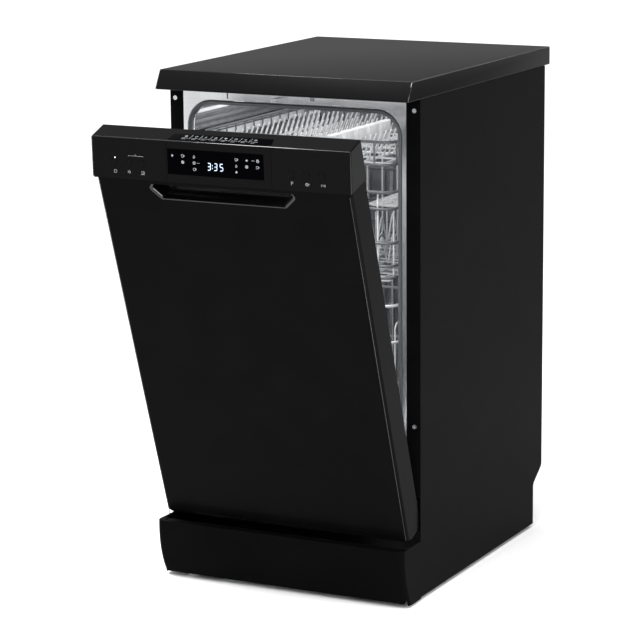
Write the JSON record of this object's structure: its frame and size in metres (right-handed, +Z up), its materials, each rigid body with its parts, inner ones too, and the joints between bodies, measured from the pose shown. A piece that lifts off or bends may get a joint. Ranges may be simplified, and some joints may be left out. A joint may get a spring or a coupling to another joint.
{
  "type": "slimline dishwasher",
  "caption": "Slimline black dishwasher with worktop, side panels and plinth; hinged door ajar over a steel tub with sliding baskets and spray arms.",
  "frame": {"origin": "on the floor, at the middle of the outline with the door ajar", "axes": "+Z up, -Y towards the door, +X to the right seen from the front"},
  "size_m": [0.45, 0.7824, 0.845],
  "materials": {
    "worktop_laminate": "satin melamine laminate",
    "black_steel": "semi-gloss black powder coat on sheet steel",
    "zinc_steel": "zinc-coated sheet steel",
    "stainless": "bright-rolled stainless sheet",
    "screw_steel": "plated screw",
    "rubber_grey": "dark grey seal",
    "black_plastic": "moulded black polypropylene",
    "black_abs": "satin moulded black ABS",
    "display_glass": "polished black acrylic",
    "circuit_board": "solder resist",
    "grey_plastic": "moulded grey polypropylene",
    "pale_plastic": "moulded pale plastic",
    "pump_plastic": "glass-filled plastic housing",
    "coated_wire": "nylon-coated wire"
  },
  "bodies": {
    "cabinet": {"worktop": "worktop_laminate", "side_panel_left": "black_steel", "side_panel_right": "black_steel", "back_panel": "zinc_steel", "front_top_rail": "zinc_steel", "base_tray": "black_plastic", "plinth": "black_steel", "levelling_feet": "black_plastic", "flange_screws": "screw_steel", "tub_side_left": "stainless", "tub_side_right": "stainless", "tub_ceiling": "stainless", "tub_back": "stainless", "tub_floor": "stainless", "tub_front_frame": "stainless", "door_gasket": "rubber_grey", "latch_striker": "stainless", "basket_rails": "stainless", "sump": "grey_plastic", "fine_filter": "stainless", "circulation_pump": "pump_plastic", "drain_pump": "pump_plastic", "inlet_valve": "pale_plastic", "drain_outlet": "black_plastic", "cord_gland": "black_plastic", "water_softener": "pale_plastic", "air_breaker": "pale_plastic", "feed_pipe": "grey_plastic", "top_spray": "grey_plastic", "hinge_brackets": "zinc_steel"},
    "door": {"door_outer_panel": "black_steel", "door_liner": "stainless", "handle_pocket": "black_abs", "control_panel": "black_abs", "display_window": "display_glass", "control_board": "circuit_board", "door_latch": "black_plastic", "dispenser_body": "grey_plastic", "hinge_arms": "zinc_steel"},
    "dispenser_lid": {"dispenser_lid": "grey_plastic"},
    "rinse_aid_cap": {"rinse_aid_cap": "grey_plastic"},
    "upper_basket": {"upper_basket": "coated_wire"},
    "cup_shelf_left": {"cup_shelf_left": "pale_plastic"},
    "cup_shelf_right": {"cup_shelf_right": "pale_plastic"},
    "upper_spray_arm": {"upper_spray_arm": "grey_plastic"},
    "cutlery_tray": {"cutlery_tray": "coated_wire"},
    "lower_basket": {"lower_basket": "coated_wire"},
    "lower_wheels_front": {"lower_wheels_front": "pale_plastic"},
    "lower_wheels_rear": {"lower_wheels_rear": "pale_plastic"},
    "folding_tines": {"folding_tines": "coated_wire"},
    "lower_spray_arm": {"lower_spray_arm": "grey_plastic"},
    "coarse_filter": {"coarse_filter": "grey_plastic"},
    "salt_cap": {"salt_cap": "black_plastic"},
    "pump_impeller": {"pump_impeller": "pale_plastic"},
    "button_power": {"button_power": "black_abs"},
    "button_delay": {"button_delay": "black_abs"},
    "button_half_load": {"button_half_load": "black_abs"},
    "button_program": {"button_program": "black_abs"},
    "button_extras": {"button_extras": "black_abs"},
    "button_start": {"button_start": "black_abs"}
  },
  "joints": [
    {"name": "door_hinge", "type": "hinge", "parent": "cabinet", "child": "door", "pos_m": [0, -0.1438, 0.158], "axis": [1, 0, 0], "range_deg": [-18.6, 71.4]},
    {"name": "upper_basket_slide", "type": "slide", "parent": "cabinet", "child": "upper_basket", "axis": [0, -1, 0], "range_m": [-0.07143, 0.27417]},
    {"name": "cutlery_tray_slide", "type": "slide", "parent": "cabinet", "child": "cutlery_tray", "axis": [0, -1, 0], "range_m": [-0.07143, 0.27417]},
    {"name": "lower_basket_slide", "type": "slide", "parent": "cabinet", "child": "lower_basket", "axis": [0, -1, 0], "range_m": [-0.03247, 0.12463]},
    {"name": "lower_wheels_front_roll", "type": "hinge", "parent": "lower_basket", "child": "lower_wheels_front", "pos_m": [0, 0.0077, 0.2013], "axis": [1, 0, 0], "continuous": true},
    {"name": "lower_wheels_rear_roll", "type": "hinge", "parent": "lower_basket", "child": "lower_wheels_rear", "pos_m": [0, 0.2377, 0.2013], "axis": [1, 0, 0], "continuous": true},
    {"name": "folding_tines_fold", "type": "hinge", "parent": "lower_basket", "child": "folding_tines", "pos_m": [-0.03, 0.08145, 0.2212], "axis": [0, -1, 0], "range_deg": [0, 78]},
    {"name": "cup_shelf_right_fold", "type": "hinge", "parent": "upper_basket", "child": "cup_shelf_right", "pos_m": [0.16, 0.0592, 0.632], "axis": [0, 1, 0], "range_deg": [0, 75]},
    {"name": "cup_shelf_left_fold", "type": "hinge", "parent": "upper_basket", "child": "cup_shelf_left", "pos_m": [-0.16, 0.0592, 0.632], "axis": [0, -1, 0], "range_deg": [0, 75]},
    {"name": "upper_spray_arm_spin", "type": "hinge", "parent": "upper_basket", "child": "upper_spray_arm", "pos_m": [0, 0.0592, 0.4975], "axis": [0, 0, 1], "continuous": true},
    {"name": "lower_spray_arm_spin", "type": "hinge", "parent": "cabinet", "child": "lower_spray_arm", "pos_m": [0, 0.1072, 0.1975], "axis": [0, 0, 1], "continuous": true},
    {"name": "coarse_filter_twist", "type": "hinge", "parent": "cabinet", "child": "coarse_filter", "pos_m": [0.06, -0.0028, 0.146], "axis": [0, 0, 1], "range_deg": [0, 90]},
    {"name": "salt_cap_unscrew", "type": "hinge", "parent": "cabinet", "child": "salt_cap", "pos_m": [-0.12, -0.0308, 0.181], "axis": [0, 0, 1], "range_deg": [0, 360]},
    {"name": "pump_impeller_spin", "type": "hinge", "parent": "cabinet", "child": "pump_impeller", "pos_m": [-0.04, 0.1872, 0.066], "axis": [1, 0, 0], "continuous": true},
    {"name": "dispenser_lid_slide", "type": "slide", "parent": "door", "child": "dispenser_lid", "axis": [1, 0, 0], "range_m": [0, 0.056]},
    {"name": "rinse_aid_cap_turn", "type": "hinge", "parent": "door", "child": "rinse_aid_cap", "pos_m": [0.038, -0.19846, 0.36118], "axis": [0, 0.9478, 0.319], "range_deg": [0, 90]},
    {"name": "button_power_press", "type": "slide", "parent": "door", "child": "button_power", "axis": [0, 0.999, 0.0442], "range_m": [0, 0.0012], "stiffness_N_per_m": 900},
    {"name": "button_delay_press", "type": "slide", "parent": "door", "child": "button_delay", "axis": [0, 0.999, 0.0442], "range_m": [0, 0.0012], "stiffness_N_per_m": 900},
    {"name": "button_half_load_press", "type": "slide", "parent": "door", "child": "button_half_load", "axis": [0, 0.999, 0.0442], "range_m": [0, 0.0012], "stiffness_N_per_m": 900},
    {"name": "button_program_press", "type": "slide", "parent": "door", "child": "button_program", "axis": [0, 0.999, 0.0442], "range_m": [0, 0.0012], "stiffness_N_per_m": 900},
    {"name": "button_extras_press", "type": "slide", "parent": "door", "child": "button_extras", "axis": [0, 0.999, 0.0442], "range_m": [0, 0.0012], "stiffness_N_per_m": 900},
    {"name": "button_start_press", "type": "slide", "parent": "door", "child": "button_start", "axis": [0, 0.999, 0.0442], "range_m": [0, 0.0012], "stiffness_N_per_m": 900}
  ],
  "couplings": [
    {"joint": "upper_basket_slide", "follows": "door_hinge", "m_per_rad": 0.22},
    {"joint": "cutlery_tray_slide", "follows": "door_hinge", "m_per_rad": 0.22},
    {"joint": "lower_basket_slide", "follows": "door_hinge", "m_per_rad": 0.1}
  ]
}
